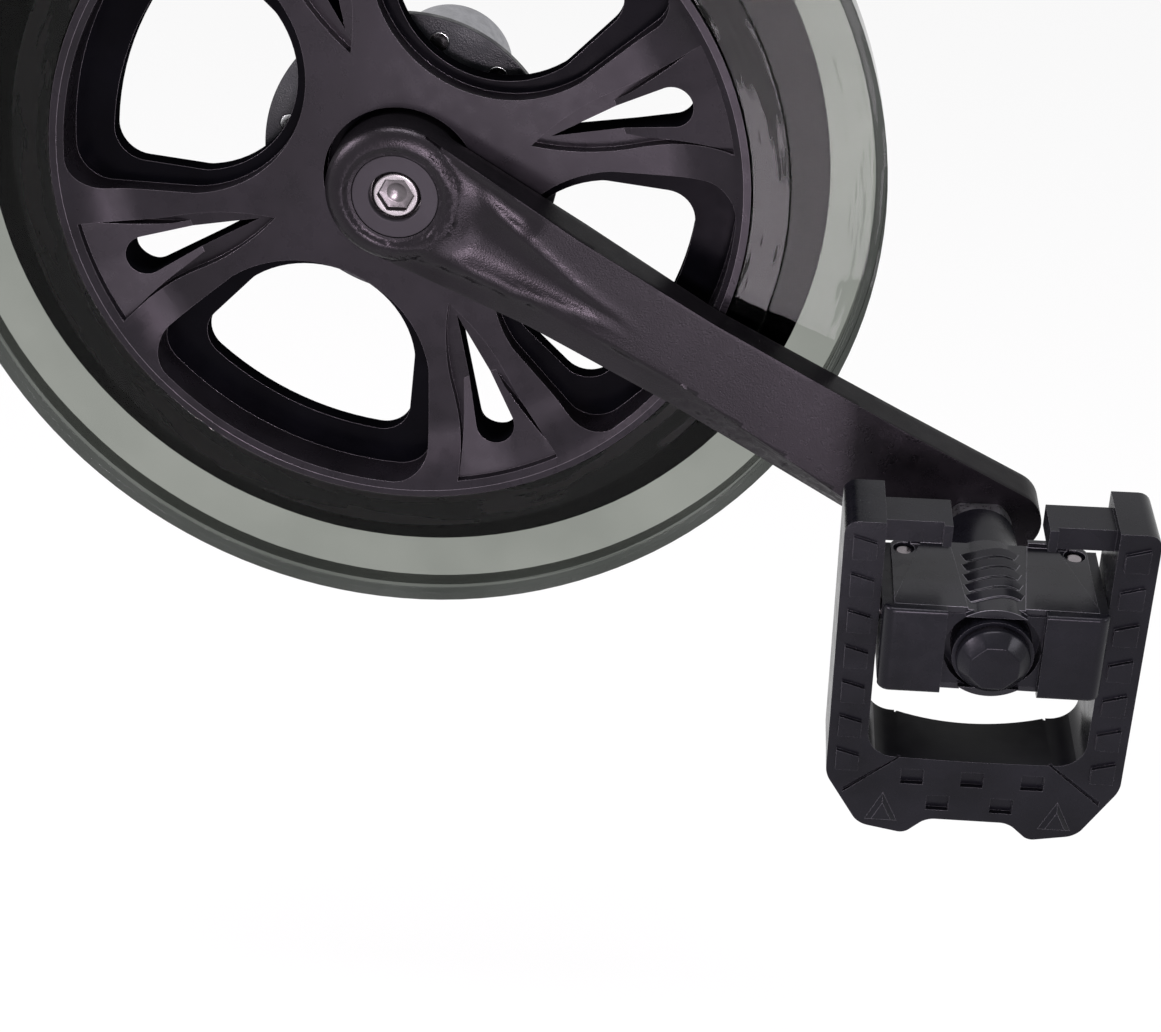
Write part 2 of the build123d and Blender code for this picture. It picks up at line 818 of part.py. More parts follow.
# Pedal body: barrel and cross block, with a lip on each side of the end cap's bay
bay_radius = barrel_radius + cap_bay_gap
lip_half_height = body_half_height + front_lip_overhang
with BuildPart() as pedal_body:
    with BuildSketch(facing_pedal(body_back_out)):
        Rectangle(2 * body_half_width, 2 * body_half_height)
    extrude(amount=body_depth)
    with BuildSketch(facing_pedal(body_front_out - front_lip_depth)):
        Rectangle(2 * body_half_width, 2 * lip_half_height)
    extrude(amount=front_lip_depth)
    fillet(pedal_body.edges().filter_by(Axis.Z).group_by(Axis.Y)[0], body_corner)
    fillet(pedal_body.edges().filter_by(Axis.X).group_by(Axis.Y)[0], front_lip_round)
    with BuildSketch(facing_pedal(body_front_out - front_lip_depth)):
        Rectangle(2 * bay_radius, 2 * (lip_half_height + overrun))
    extrude(amount=front_lip_depth, mode=Mode.SUBTRACT)
    with BuildSketch(facing_pedal(body_front_out)):
        Circle(bay_radius)
    extrude(amount=-cap_bay_depth, mode=Mode.SUBTRACT)
    with BuildSketch(facing_pedal(body_start_out)):
        Circle(barrel_radius)
    extrude(amount=body_front_out - body_start_out)
    with BuildSketch(facing_pedal(body_start_out)):
        Circle(pedal_spindle_radius + pedal_running_clearance)
    extrude(amount=body_depth + body_back_out - body_start_out, mode=Mode.SUBTRACT)
    for side in (-1, 1):
        with Locations(Location((pedal_x + side * body_half_width, -hinge_out, pedal_z), (0, side * 90, 0))):
            Hole(hinge_pin_radius, hinge_pin_depth)
        with BuildSketch(Plane.XY.offset(pedal_z - body_half_height)):
            with Locations((pedal_x + side * screw_across, -body_back_out - screw_from_back)):
                Circle(screw_radius)
        extrude(amount=2 * body_half_height, mode=Mode.SUBTRACT)
save(pedal_body.part, "pedal_body")

# Covers above and below: a plate with raised wings, a saddle over the barrel and ridges on it
cover_back_y = -body_back_out - cover_edge_gap
cover_front_y = -body_front_out + front_lip_depth + cover_edge_gap
cover_middle_y = (cover_back_y + cover_front_y) / 2
saddle_radius = body_half_height + saddle_wall
saddle_start_out = body_back_out + cover_edge_gap
saddle_end_out = body_front_out - saddle_front_gap
wing_points = (
    # across, distance in front of the plate's back edge
    (wing_back_across, 0),
    (wing_step_across, 0),
    (wing_half_width, cover_back_y - cover_front_y - wing_step_front),
    (wing_half_width, cover_back_y - cover_front_y),
    (wing_front_across, cover_back_y - cover_front_y),
)
for side, label in ((1, "pedal_cover_top"), (-1, "pedal_cover_bottom")):
    seat = pedal_z + side * body_half_height
    with BuildPart() as plate:
        with BuildSketch(facing_pedal(saddle_start_out)):
            Circle(saddle_radius)
        extrude(amount=saddle_end_out - saddle_start_out)
        for ridge in range(ridge_count):
            ridge_out = saddle_start_out + ridge_start + ridge * ridge_pitch
            with BuildSketch(facing_pedal(ridge_out)):
                Circle(saddle_radius + ridge_height)
            extrude(amount=ridge_width, taper=ridge_taper)
        with BuildSketch(Plane.XY.offset(seat)):
            with Locations((pedal_x, cover_middle_y)):
                Rectangle(2 * saddle_radius, 2 * body_depth)
        extrude(amount=side * saddle_radius, mode=Mode.INTERSECT)
        with BuildSketch(Plane.XY.offset(seat)):
            with Locations((pedal_x, cover_middle_y)):
                RectangleRounded(2 * wing_half_width, cover_back_y - cover_front_y, wing_corner)
        extrude(amount=side * plate_thickness)
        for across in (-1, 1):
            with BuildSketch(Plane.XY.offset(seat)):
                with BuildLine():
                    Polyline(
                        *[(pedal_x + across * x, cover_back_y - forward) for x, forward in wing_points],
                        close=True,
                    )
                make_face()
            extrude(amount=side * wing_thickness)
            with BuildSketch(Plane.XY.offset(seat)):
                with Locations((pedal_x + across * (latch_lip_outer + wing_back_across) / 2, cover_back_y)):
                    Rectangle(
                        latch_lip_outer - wing_back_across,
                        latch_lip_width,
                        align=(Align.CENTER, Align.MAX),
                    )
            extrude(amount=side * (wing_thickness + latch_lip_height))
            with BuildSketch(Plane.XY.offset(seat)):
                with Locations((pedal_x + across * screw_across, -body_back_out - screw_from_back)):
                    Circle(screw_hole_radius)
            extrude(amount=side * (wing_thickness + overrun), mode=Mode.SUBTRACT)
    save(plate.part, label)

screw_half = body_half_height + plate_thickness - screw_sink
for across, label in ((-screw_across, "cover_screw_rear"), (screw_across, "cover_screw_front")):
    with BuildPart() as screw:
        with BuildSketch(Plane.XY.offset(pedal_z - screw_half)):
            with Locations((pedal_x + across, -body_back_out - screw_from_back)):
                Circle(screw_radius)
        extrude(amount=2 * screw_half)
    save(screw.part, label)

# End cap with an eight-sided flat
cap_rim_out = body_front_out + cap_wall_length
with BuildPart() as end_cap:
    with BuildSketch(facing_pedal(body_front_out)):
        Circle(cap_radius)
    extrude(amount=cap_wall_length)
    with BuildSketch(facing_pedal(cap_rim_out)):
        Circle(cap_radius)
    with BuildSketch(facing_pedal(cap_rim_out + cap_cone_length)):
        RegularPolygon(cap_flats / 2, 8, major_radius=False)
    loft()
save(end_cap.part, "end_cap")

# Hinge pins, pressed into the body and running in the cage's arms
hinge_pin_inner = body_half_width - hinge_pin_depth
hinge_pin_outer = cage_half_width - hinge_pin_cover
for side, label in ((-1, "hinge_pin_rear"), (1, "hinge_pin_front")):
    with BuildPart() as hinge_pin:
        with BuildSketch(Plane.YZ.offset(pedal_x + side * hinge_pin_inner)):
            with Locations((-hinge_out, pedal_z)):
                Circle(hinge_pin_radius)
        extrude(amount=side * (hinge_pin_outer - hinge_pin_inner))
    save(hinge_pin.part, label)

# Folding cage: a frame open at the top, with a hook on each arm and treads on both faces
cage_front_out = hinge_out + cage_depth / 2
cage_back_out = hinge_out - cage_depth / 2
bar_corner_across = cage_half_width - bar_corner_inset
foot_outer_across = cage_half_width - foot_outer_inset
opening_height = cage_top - bar_top
hook_reach = cage_opening_half - hook_tip_half
hook_height = (hook_top + hook_bottom) / 2
tread_outer = cage_half_width - tread_inset
tread_inner = tread_outer - tread_width
seam_outer_across = cage_half_width - seam_outer_inset
with BuildPart() as cage:
    with BuildSketch(facing_pedal(cage_back_out)):
        with BuildLine():
            Polyline(
                (-cage_half_width, cage_top),
                (-cage_half_width, bar_side_height),
                (-bar_corner_across, bar_corner_height),
                (-foot_outer_across, foot_outer_height),
                (-foot_inner_across, foot_bottom),
                (-bar_middle_across, bar_bottom),
                (bar_middle_across, bar_bottom),
                (foot_inner_across, foot_bottom),
                (foot_outer_across, foot_outer_height),
                (bar_corner_across, bar_corner_height),
                (cage_half_width, bar_side_height),
                (cage_half_width, cage_top),
                close=True,
            )
        make_face()
        with BuildSketch(mode=Mode.PRIVATE) as gap:
            with Locations((0, bar_top + opening_height)):
                Rectangle(2 * cage_opening_half, 2 * opening_height)
            fillet(gap.vertices().group_by(Axis.Y)[0], opening_fillet)
        add(gap.sketch, mode=Mode.SUBTRACT)
    extrude(amount=cage_depth)
    for out, sag in ((cage_back_out, bar_sag), (cage_front_out, bar_front_sag)):
        with BuildSketch(facing_pedal(out)):
            with BuildLine():
                ThreePointArc((-bar_sag_half, bar_top), (0, bar_top - sag), (bar_sag_half, bar_top))
                Line((bar_sag_half, bar_top), (-bar_sag_half, bar_top))
            make_face()
    loft(mode=Mode.SUBTRACT)
    for side in (-1, 1):
        with BuildSketch(facing_pedal(hinge_out - hook_depth / 2)):
            with Locations((side * (hook_tip_half + (hook_reach + overrun) / 2), hook_height)):
                Rectangle(hook_reach + overrun, hook_top - hook_bottom)
        extrude(amount=hook_depth)
        with BuildSketch(facing_pedal(hinge_out + hook_depth / 2)):
            with Locations((side * (hook_tip_half + hook_nub_width / 2), hook_height)):
                Rectangle(hook_nub_width, hook_top - hook_bottom)
        extrude(amount=hook_nub_rise)
        with BuildSketch(Plane.YZ.offset(pedal_x + side * (cage_opening_half - overrun))):
            with Locations((-hinge_out, pedal_z)):
                Circle(hinge_pin_radius + hinge_clearance)
        bore_length = hinge_pin_outer + hinge_end_gap - cage_opening_half + overrun
        extrude(amount=side * bore_length, mode=Mode.SUBTRACT)
    for face_out, outward in ((cage_front_out, 1), (cage_back_out, -1)):
        with BuildSketch(facing_pedal(face_out)):
            for side in (-1, 1):
                for row in range(tread_count):
                    top = tread_first_height - row * tread_pitch
                    with BuildLine():
                        Polyline(
                            (side * tread_outer, top),
                            (side * tread_inner, top - tread_slant),
                            (side * tread_inner, top - tread_height),
                            (side * tread_outer, top - tread_height),
                            close=True,
                        )
                    make_face()
        extrude(amount=outward * tread_rise)
        with BuildSketch(facing_pedal(face_out)):
            for side in (-1, 1):
                with Locations((side * spur_across, spur_base_height)):
                    Triangle(
                        a=2 * spur_half_width,
                        b=spur_side,
                        c=spur_side,
                        align=(Align.CENTER, Align.MIN),
                    )
        extrude(amount=outward * spur_rise, taper=spur_taper)
        with BuildSketch(facing_pedal(face_out)):
            with Locations(*notch_places):
                Rectangle(notch_width, notch_height)
        extrude(amount=-outward * notch_depth, mode=Mode.SUBTRACT)
        with BuildSketch(facing_pedal(face_out)):
            for side in (-1, 1):
                with BuildLine():
                    Polyline(
                        (side * seam_inner_across, bar_top + overrun),
                        (side * (seam_inner_across + seam_width), bar_top + overrun),
                        (side * seam_outer_across, seam_outer_height + seam_width),
                        (side * seam_outer_across, seam_outer_height - seam_width),
                        close=True,
                    )
                make_face()
        extrude(amount=-outward * seam_depth, mode=Mode.SUBTRACT)
save(cage.part, "pedal_cage")
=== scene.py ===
import json
from math import cos, hypot, pi, radians, sin

import bmesh
import bpy
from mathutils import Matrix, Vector


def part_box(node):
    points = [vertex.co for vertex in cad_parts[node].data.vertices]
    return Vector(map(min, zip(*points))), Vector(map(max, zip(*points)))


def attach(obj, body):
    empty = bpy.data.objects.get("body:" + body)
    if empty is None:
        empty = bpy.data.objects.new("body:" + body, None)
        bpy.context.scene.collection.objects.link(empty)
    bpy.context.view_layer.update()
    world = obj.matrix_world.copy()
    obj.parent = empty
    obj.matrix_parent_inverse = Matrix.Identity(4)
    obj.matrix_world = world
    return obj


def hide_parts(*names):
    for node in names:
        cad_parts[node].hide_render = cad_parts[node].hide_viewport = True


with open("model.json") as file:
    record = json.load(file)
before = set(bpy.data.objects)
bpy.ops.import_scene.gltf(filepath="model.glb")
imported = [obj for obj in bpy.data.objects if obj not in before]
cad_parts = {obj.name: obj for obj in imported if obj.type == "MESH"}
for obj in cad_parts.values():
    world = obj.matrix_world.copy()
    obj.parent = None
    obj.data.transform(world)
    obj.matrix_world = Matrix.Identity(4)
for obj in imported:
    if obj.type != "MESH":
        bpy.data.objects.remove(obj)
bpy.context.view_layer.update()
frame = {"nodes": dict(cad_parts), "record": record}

# Metres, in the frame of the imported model: the spindle runs along Y and the drive side faces -Y.
MM = 0.001

# Camera, fitted to the photograph
CAMERA_AT = (0.09122, -0.53831, 0.20135)
CAMERA_ROUND = 5.41
CAMERA_ABOVE = 31.56
FOCAL_PIXELS = 2065.35
IMAGE_WIDTH = 1161
SENSOR_WIDTH = 36.0

# Stage and lamps
FLOOR_LEVEL = -0.30
FLOOR_SIDE = 8.0
FLOOR_COLOUR = (0.86, 0.86, 0.86, 1)
FLOOR_GLOW = 0.88
# The floor's shade fades into the white background between these distances, in metres
FLOOR_FADE = (1.3, 3.2)
WORLD_LEVEL = 0.35
LAMPS = (
    # name, place, aimed at,
    #     width, height, watts, colour
    ("softbox_above", (0.05, -0.20, 0.95), (0.05, -0.06, -0.03),
        0.70, 0.25, 8.0, (1.0, 0.97, 1.0)),
    ("softbox_front", (0.14, -1.10, 0.12), (0.05, -0.06, -0.02),
        0.34, 0.14, 8.5, (1.0, 0.88, 0.97)),
    ("softbox_left", (-0.85, -0.35, 0.42), (0.00, -0.06, 0.00),
        0.36, 0.36, 9.0, (1.0, 0.90, 0.98)),
    ("softbox_right", (0.95, -0.40, 0.35), (0.10, -0.08, -0.05),
        0.30, 0.30, 2.5, (0.97, 0.97, 1.0)),
    ("strip_low", (0.100, -0.53, -0.175), (0.10, -0.06, -0.02),
        0.085, 0.17, 0.42, (1.0, 0.90, 1.0)),
    ("panel_low", (-0.030, -0.53, -0.135), (0.03, -0.06, 0.03),
        0.13, 0.10, 0.26, (1.0, 0.94, 1.0)),
)

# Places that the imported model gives: the pedal's axis, and the line along the crank arm
behaviour = frame["record"]["behaviour"]
joint_at = {joint["name"]: Vector(joint["pos_m"]) for joint in behaviour["joints"]}
pedal_axis = joint_at["pedal_spin"]
arm_along = Vector((pedal_axis.x, 0, pedal_axis.z)).normalized()
arm_across = Vector((-arm_along.z, 0, arm_along.x))


def nodes_of(material):
    return material.node_tree.nodes, material.node_tree.links


def new_material(name):
    material = bpy.data.materials.new(name)
    material.use_nodes = True
    return material, material.node_tree.nodes["Principled BSDF"]


def noise(material, scale, detail=2.0):
    """A noise texture on the object's own coordinates, scale in features per metre."""
    nodes, links = nodes_of(material)
    place = nodes.new("ShaderNodeTexCoord")
    texture = nodes.new("ShaderNodeTexNoise")
    texture.inputs["Scale"].default_value = scale
    texture.inputs["Detail"].default_value = detail
    links.new(place.outputs["Object"], texture.inputs["Vector"])
    return texture.outputs["Fac"]


def spread(material, value, low, high, start=0.3, end=0.7):
    """Maps a value from between start and end to between low and high."""
    nodes, links = nodes_of(material)
    ranged = nodes.new("ShaderNodeMapRange")
    ranged.inputs["From Min"].default_value = start
    ranged.inputs["From Max"].default_value = end
    ranged.inputs["To Min"].default_value = low
    ranged.inputs["To Max"].default_value = high
    links.new(value, ranged.inputs["Value"])
    return ranged.outputs["Result"]


def blend_colours(material, value, first, second):
    """Goes from the first colour to the second as the value goes from 0 to 1."""
    nodes, links = nodes_of(material)
    mix = nodes.new("ShaderNodeMix")
    mix.data_type = "RGBA"
    mix.inputs["A"].default_value = (*first, 1)
    mix.inputs["B"].default_value = (*second, 1)
    links.new(value, mix.inputs["Factor"])
    return mix.outputs["Result"]


def bump(material, height, depth):
    """Relief of a depth in metres."""
    nodes, links = nodes_of(material)
    relief = nodes.new("ShaderNodeBump")
    relief.inputs["Strength"].default_value = 1.0
    relief.inputs["Distance"].default_value = depth
    links.new(height, relief.inputs["Height"])
    return relief.outputs["Normal"]


def ring_noise(material, radial, round_share, detail):
    """A noise texture drawn out along circles about the spindle, radial in features per metre."""
    nodes, links = nodes_of(material)
    place = nodes.new("ShaderNodeTexCoord")
    flat = nodes.new("ShaderNodeVectorMath")
    flat.operation = "MULTIPLY"
    flat.inputs[1].default_value = (1, 0, 1)
    links.new(place.outputs["Object"], flat.inputs[0])
    radius = nodes.new("ShaderNodeVectorMath")
    radius.operation = "LENGTH"
    links.new(flat.outputs["Vector"], radius.inputs[0])
    heading = nodes.new("ShaderNodeVectorMath")
    heading.operation = "NORMALIZE"
    links.new(flat.outputs["Vector"], heading.inputs[0])
    drawn = nodes.new("ShaderNodeVectorMath")
    drawn.operation = "SCALE"
    drawn.inputs["Scale"].default_value = round_share
    links.new(heading.outputs["Vector"], drawn.inputs[0])
    across = nodes.new("ShaderNodeMath")
    across.operation = "MULTIPLY"
    across.inputs[1].default_value = radial
    links.new(radius.outputs["Value"], across.inputs[0])
    stacked = nodes.new("ShaderNodeCombineXYZ")
    links.new(across.outputs["Value"], stacked.inputs["Y"])
    total = nodes.new("ShaderNodeVectorMath")
    total.operation = "ADD"
    links.new(drawn.outputs["Vector"], total.inputs[0])
    links.new(stacked.outputs["Vector"], total.inputs[1])
    texture = nodes.new("ShaderNodeTexNoise")
    texture.inputs["Scale"].default_value = 1.0
    texture.inputs["Detail"].default_value = detail
    links.new(total.outputs["Vector"], texture.inputs["Vector"])
    return texture.outputs["Fac"]


def moulded(name, dark, light, gloss, grain, grain_depth, specular, tint):
    """Moulded or coated black surface: cloudy colour and gloss, and a fine grain."""
    material, shader = new_material(name)
    links = material.node_tree.links
    cloud = spread(material, noise(material, PLASTIC_CLOUDS, 4.0), 0.0, 1.0)
    links.new(blend_colours(material, cloud, dark, light), shader.inputs["Base Color"])
    patches = noise(material, PLASTIC_GLOSS_PATCHES, 3.0)
    links.new(spread(material, patches, *gloss), shader.inputs["Roughness"])
    links.new(bump(material, noise(material, grain), grain_depth), shader.inputs["Normal"])
    shader.inputs["Specular IOR Level"].default_value = specular
    shader.inputs["Specular Tint"].default_value = (*tint, 1)
    return material


def steel(name, colour, gloss):
    """Plain or plated steel with a fine grain."""
    material, shader = new_material(name)
    links = material.node_tree.links
    shader.inputs["Metallic"].default_value = 1.0
    darker = tuple(STEEL_SHADE * part for part in colour)
    cloud = spread(material, noise(material, STEEL_CLOUDS, 4.0), 0.0, 1.0)
    links.new(blend_colours(material, cloud, darker, colour), shader.inputs["Base Color"])
    patches = noise(material, STEEL_GLOSS_PATCHES, 3.0)
    links.new(spread(material, patches, *gloss), shader.inputs["Roughness"])
    grain = bump(material, noise(material, STEEL_GRAIN), STEEL_GRAIN_DEPTH)
    links.new(grain, shader.inputs["Normal"])
    return material


def smoked(name, dark, light, refraction, ripple, streak_roughness):
    """Smoke-tinted clear plastic with moulding ripples, and streaks where its gloss is broken."""
    material, shader = new_material(name)
    links = material.node_tree.links
    cloud = spread(material, noise(material, SMOKE_CLOUDS, 3.0), 0.0, 1.0)
    links.new(blend_colours(material, cloud, dark, light), shader.inputs["Base Color"])
    streaks = ring_noise(material, *STREAKS)
    broken = spread(material, streaks, CLEAR_ROUGHNESS, streak_roughness, *STREAK_RANGE)
    links.new(broken, shader.inputs["Roughness"])
    shader.inputs["Transmission Weight"].default_value = 1.0
    shader.inputs["IOR"].default_value = refraction
    links.new(bump(material, ring_noise(material, *RIPPLES), ripple), shader.inputs["Normal"])
    return material


# Scale of each pattern, in features per metre
PLASTIC_CLOUDS = 60.0
PLASTIC_GLOSS_PATCHES = 220.0
STEEL_CLOUDS = 300.0
STEEL_GLOSS_PATCHES = 900.0
STEEL_GRAIN = 1800.0
STEEL_GRAIN_DEPTH = 0.00001
STEEL_SHADE = 0.75
SMOKE_CLOUDS = 25.0
# Patterns round the guard: features per metre outwards, share round it, and detail
STREAKS = (190.0, 2.6, 3.0)
RIPPLES = (260.0, 3.5, 2.0)
STREAK_RANGE = (0.50, 0.56)
CLEAR_ROUGHNESS = 0.02

MAUVE = (0.98, 0.88, 1.0)
COOL = (0.93, 0.91, 1.0)
PALE_COOL = (0.95, 0.93, 1.0)
PLAIN = (1, 1, 1)
MOULDED = (
    # name, darker and lighter colour,
    #     roughness, grain per metre, its depth in metres, specular level, its tint
    ("cover_plastic", (0.004, 0.0035, 0.0045), (0.008, 0.007, 0.009),
        (0.24, 0.34), 2600.0, 0.000012, 0.20, MAUVE),
    # Ledges: glossier, and painted darker with less reflection, as painted shade
    ("cover_gloss", (0.001, 0.001, 0.0015), (0.002, 0.002, 0.003),
        (0.18, 0.28), 1200.0, 0.000005, 0.03, MAUVE),
    # Window walls: painted near black with no reflection at all, as painted shade
    ("cover_wall", (0.0015, 0.0015, 0.002), (0.003, 0.003, 0.004),
        (0.40, 0.55), 1200.0, 0.000005, 0.0, MAUVE),
    # Rounded edges: painted far lighter than the faces, as a painted highlight
    ("cover_edge", (0.070, 0.064, 0.072), (0.105, 0.096, 0.108),
        (0.18, 0.26), 2600.0, 0.000008, 0.50, MAUVE),
    ("ring_plastic", (0.002, 0.002, 0.003), (0.004, 0.004, 0.005),
        (0.14, 0.24), 1500.0, 0.000004, 0.06, MAUVE),
    ("dust_plastic", (0.020, 0.018, 0.021), (0.027, 0.025, 0.029),
        (0.34, 0.44), 1500.0, 0.000008, 0.14, MAUVE),
    ("crank_black", (0.002, 0.0017, 0.0022), (0.005, 0.0043, 0.0055),
        (0.25, 0.33), 2300.0, 0.00006, 0.20, MAUVE),
    # Sides of the crank: a copy of the crank's black with little reflection, so they show darker;
    # painted shade
    ("crank_side", (0.003, 0.0027, 0.0033), (0.006, 0.0055, 0.0065),
        (0.30, 0.40), 2300.0, 0.00003, 0.03, MAUVE),
    ("pedal_plastic", (0.002, 0.002, 0.003), (0.005, 0.005, 0.007),
        (0.22, 0.32), 2400.0, 0.000014, 0.15, COOL),
    ("pedal_gloss", (0.003, 0.003, 0.004), (0.006, 0.006, 0.008),
        (0.20, 0.30), 2400.0, 0.000012, 0.27, COOL),
    ("pedal_inner", (0.003, 0.003, 0.004), (0.006, 0.006, 0.008),
        (0.30, 0.40), 2400.0, 0.000014, 0.04, PLAIN),
    # Rounded edges of the pedal: painted far lighter than its faces, as a painted highlight
    ("pedal_edge", (0.070, 0.069, 0.078), (0.110, 0.108, 0.120),
        (0.18, 0.26), 2400.0, 0.000010, 0.50, PALE_COOL),
    ("chainring_black", (0.006, 0.006, 0.007), (0.010, 0.010, 0.011),
        (0.26, 0.38), 1800.0, 0.00001, 0.16, PLAIN),
    ("cartridge_black", (0.008, 0.008, 0.009), (0.014, 0.014, 0.015),
        (0.30, 0.42), 1800.0, 0.00001, 0.18, PLAIN),
    ("disc_plastic", (0.006, 0.006, 0.008), (0.024, 0.025, 0.030),
        (0.30, 0.60), 2600.0, 0.00012, 0.40, PLAIN),
)
STEEL = (
    # name, colour, roughness
    ("bright_steel", (0.29, 0.265, 0.28), (0.20, 0.32)),
    # Socket floor and walls: darker steel than the head, as painted shade
    ("socket_steel", (0.15, 0.135, 0.145), (0.24, 0.36)),
    ("socket_wall", (0.09, 0.08, 0.085), (0.24, 0.36)),
    ("spindle_steel", (0.38, 0.38, 0.40), (0.24, 0.38)),
    ("cup_steel", (0.26, 0.26, 0.28), (0.30, 0.44)),
    ("magnet_nickel", (0.75, 0.75, 0.77), (0.10, 0.20)),
)
SMOKED = (
    # name, darker and lighter tint, index of refraction, ripples' depth in metres,
    #     roughness of the streaks
    ("smoked_band", (0.24, 0.255, 0.23), (0.32, 0.335, 0.305), 1.25, 0.0002, 0.40),
    ("smoked_plastic", (0.25, 0.265, 0.24), (0.32, 0.335, 0.305), 1.18, 0.00008, 0.06),
    # Outer lip: a much darker tint, as painted shade at the plastic's edge
    ("smoked_lip", (0.05, 0.055, 0.05), (0.09, 0.095, 0.09), 1.18, 0.00008, 0.06),
)


def make_materials():
    kinds = ((moulded, MOULDED), (steel, STEEL), (smoked, SMOKED))
    return {name: make(name, *rest) for make, rows in kinds for name, *rest in rows}


def link(piece):
    bpy.context.scene.collection.objects.link(piece)
    return piece


# Facets of one flat face: how near their corners lie in millimetres, and their tilt in degrees
SAME_CORNER = 0.002
SAME_FACE = 0.4
# Edges that turn by more than this many degrees are rounded off
CREASE = 28.0
BROAD_FACE_WEIGHT = 60


def evaluated(piece):
    """Applies the piece's modifiers."""
    depsgraph = bpy.context.evaluated_depsgraph_get()
    mesh = bpy.data.meshes.new_from_object(piece.evaluated_get(depsgraph))
    old = piece.data
    piece.modifiers.clear()
    piece.data = mesh
    bpy.data.meshes.remove(old)


def even_normals(piece):
    """Shades broad faces flat and leaves the turn to the rounded edges."""
    normals = piece.modifiers.new("normals", "WEIGHTED_NORMAL")
    normals.keep_sharp = True
    normals.weight = BROAD_FACE_WEIGHT
    evaluated(piece)


def reshaped(piece, change):
    """Runs a change on the piece's mesh."""
    bm = bmesh.new()
    bm.from_mesh(piece.data)
    change(bm)
    for face in bm.faces:
        face.smooth = True
    bm.to_mesh(piece.data)
    bm.free()


def body_of_node(node):
    for body, nodes in behaviour["bodies"].items():
        if node in nodes:
            return body
    raise KeyError(node)


def slot_of_node(node):
    for subpart in frame["record"]["subparts"]:
        if subpart["node"] == node:
            return subpart["material_slot"]
    raise KeyError(node)


def placed(piece, node, materials, finishes=()):
    """The piece takes the node's place and body, and its material unless others are named."""
    marks = [face.material_index for face in piece.data.polygons]
    finishes = finishes or (slot_of_node(node),)
    piece.data.materials.clear()
    for finish in finishes:
        piece.data.materials.append(materials[finish])
    piece.data.polygons.foreach_set("material_index", marks)
    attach(piece, body_of_node(node))
    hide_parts(node)
    return piece


def merged(bm):
    """Joins the facets of each flat face again."""
    bmesh.ops.remove_doubles(bm, verts=bm.verts, dist=SAME_CORNER * MM)
    bmesh.ops.dissolve_limit(bm, angle_limit=radians(SAME_FACE), verts=bm.verts, edges=bm.edges)


def weigh_edges(bm):
    """Marks the outer edges for rounding and leaves the inner ones."""
    bm.normal_update()
    weights = bm.edges.layers.float.new("bevel_weight_edge")
    for edge in bm.edges:
        if len(edge.link_faces) == 2 and edge.calc_face_angle_signed() > radians(CREASE):
            edge[weights] = 1.0


def dressed(
    node, materials, edge, segments=2, before=None, after=None, finishes=(), edge_highlight_finish=0,
    even=True, convex_only=False,
):
    """The CAD node's own shape with its edges rounded off by a radius in metres.

    before and after change the mesh on either side of that rounding, and the edge finish
    argument is the number of the finish that the rounded edges take; callers give a lighter one
    there, which paints a highlight on them.
    """
    piece = link(bpy.data.objects.new(f"{node}_dressed", frame["nodes"][node].data.copy()))
    piece.data.materials.clear()
    for finish in finishes or (slot_of_node(node),):
        piece.data.materials.append(materials[finish])
    for face in piece.data.polygons:
        face.material_index = 0
    reshaped(piece, merged)
    if before:
        reshaped(piece, before)
    rounding = piece.modifiers.new("rounding", "BEVEL")
    rounding.width = edge
    rounding.segments = segments
    rounding.limit_method = "ANGLE"
    rounding.angle_limit = radians(CREASE)
    rounding.harden_normals = False
    if convex_only:
        reshaped(piece, weigh_edges)
        rounding.limit_method = "WEIGHT"
    # Rounded edges may take a lighter finish of their own, which paints a highlight on them
    rounding.material = edge_highlight_finish
    evaluated(piece)
    if after:
        reshaped(piece, after)
    if even:
        even_normals(piece)
    return placed(piece, node, materials, finishes)


def smooth_step(low, high, value):
    share = min(max((value - low) / (high - low), 0.0), 1.0)
    return share * share * (3 - 2 * share)


def along_line(points, at):
    """Height at a place on a line through (place, height) points."""
    for (x0, y0), (x1, y1) in zip(points, points[1:]):
        if at <= x1:
            return y0 + (y1 - y0) * (at - x0) / (x1 - x0)
    return points[-1][1]


# Crank arm: two ridges run from the eye and meet, with a shallow valley between them.
# Points are in millimetres along the arm and across it, or along it and down.
UPPER_RIDGE = ((11.0, 14.0), (24.0, 10.0), (50.0, 3.6), (72.0, 0.6))
LOWER_RIDGE = ((11.0, -9.4), (17.0, -8.5), (36.0, -6.4), (62.0, -1.0), (72.0, 0.2))
VALLEY_DEPTH = ((11.0, 0.8), (20.0, 2.0), (34.0, 1.7), (50.0, 0.8), (72.0, 0.0))
VALLEY_END = 72.0
VALLEY_POWER = 1.3
RIDGE_START = (14.0, 26.0)
RIDGE_FADE = 26.0
RIDGE_RISE = 0.75
RIDGE_WIDTH = 2.8
LOWER_RIDGE_WIDTH = 1.6 * RIDGE_WIDTH
RIDGES_APART = 0.4
# The eye: where its flat ends and its rim begins, how far out its crown is, and its blends
EYE_BACK = -0.056
EYE_EDGE = 13.6
EYE_CLEAR = 24.0
EYE_RADIUS = 18.0
EYE_CROWN = 66.5
EYE_FLAT = 12.6
EYE_DROP = 3.5
DISH_DROP = 1.0
DISH_BLEND = 0.8
EYE_MARGIN = 0.05
EYE_BLEND = 1.2
EYE_TO_ARM = (2.0, 11.0)
EDGE_TO_FACE = (0.8, 2.6)
